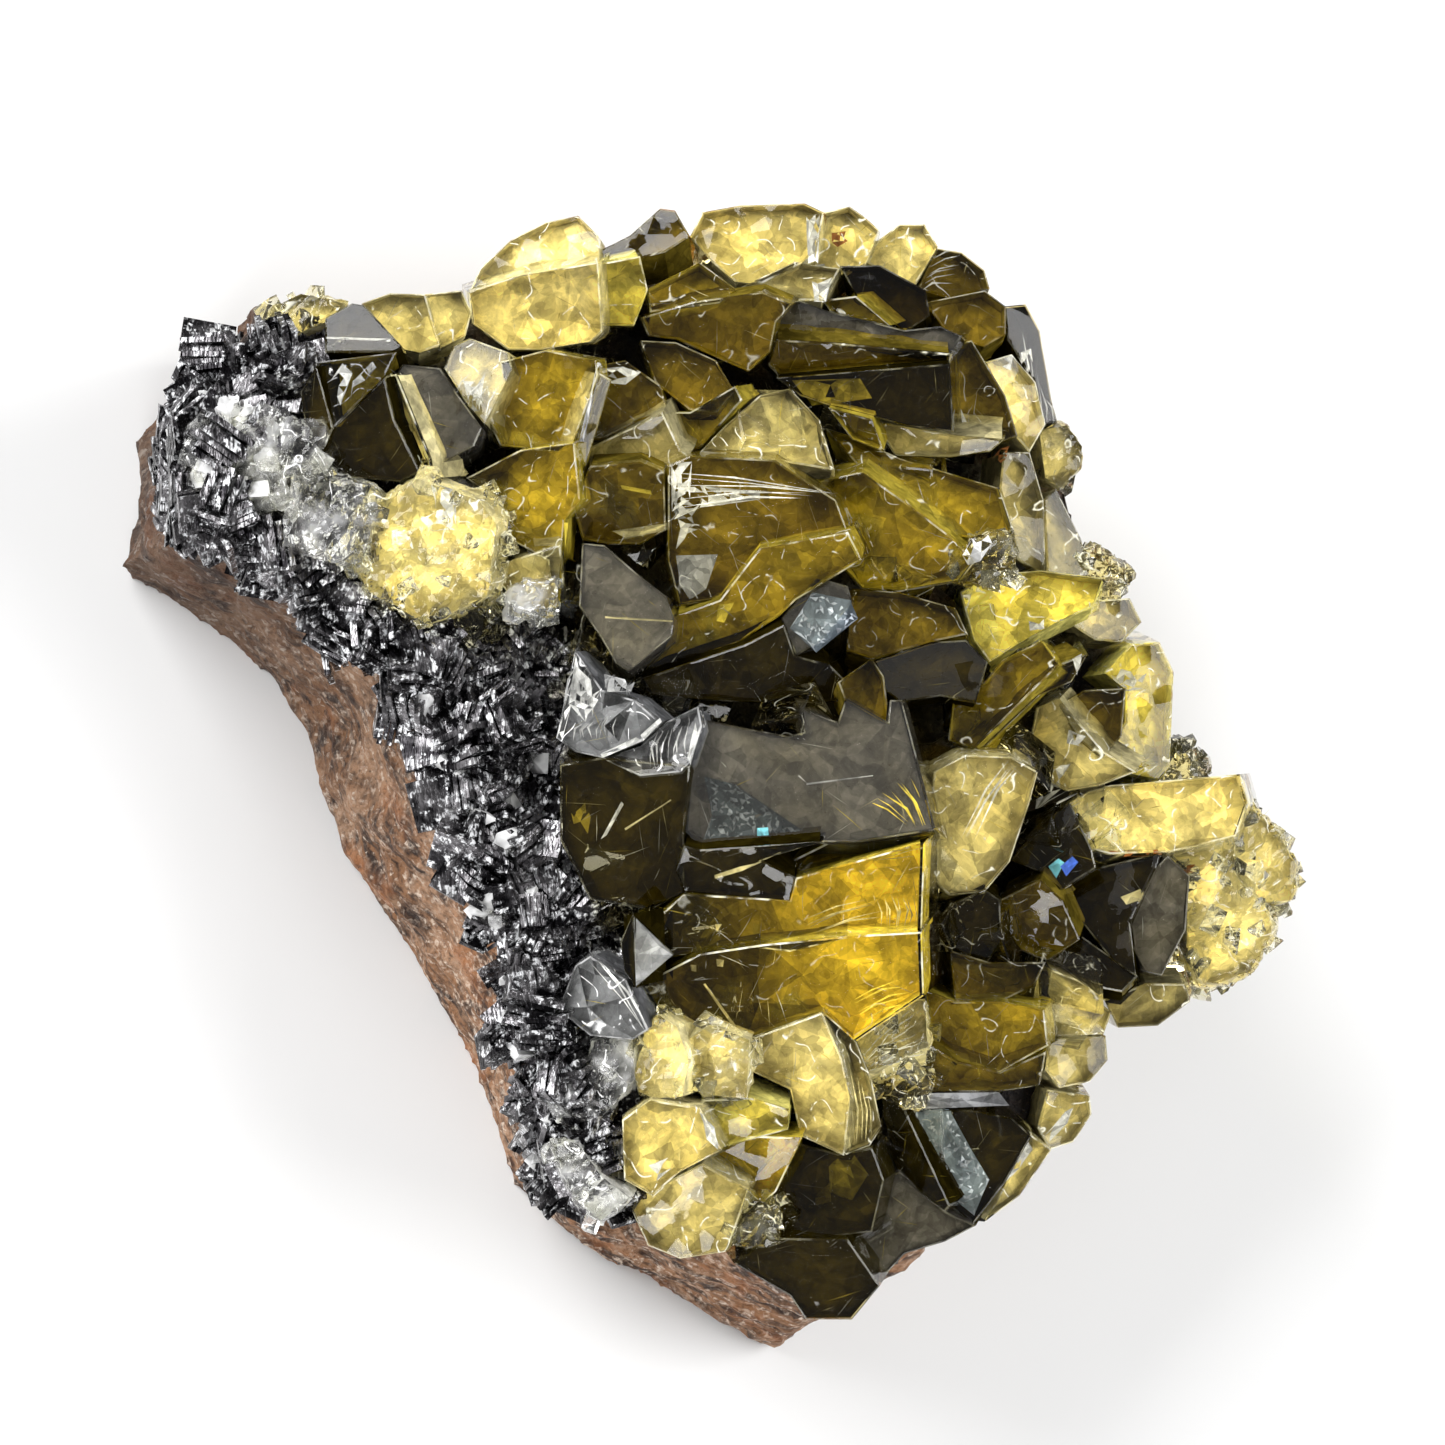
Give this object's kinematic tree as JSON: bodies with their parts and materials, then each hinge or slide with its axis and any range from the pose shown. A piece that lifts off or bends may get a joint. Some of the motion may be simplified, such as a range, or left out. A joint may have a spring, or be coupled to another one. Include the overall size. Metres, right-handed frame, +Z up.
{
  "type": "fluorite crystal cluster",
  "caption": "See-through yellow fluorite crystals grown together over a dark sparkling crust on a brown rock with a flat base, resting crystals up.",
  "frame": {"origin": "middle of the whole object's box, at the height of the rock's flat base", "axes": "+Z up, away from the base and through the crystals, +X along the longest way across, towards the blunt point at the right of the pictured face"},
  "size_m": [0.085, 0.0818, 0.0345],
  "materials": {
    "matrix_rock": "matte",
    "dark_crust": "gloss",
    "fluorite": "polished"
  },
  "bodies": {
    "root": {"matrix_rock": "matrix_rock", "dark_crust": "dark_crust", "fluorite_crystals": "fluorite"}
  },
  "joints": []
}
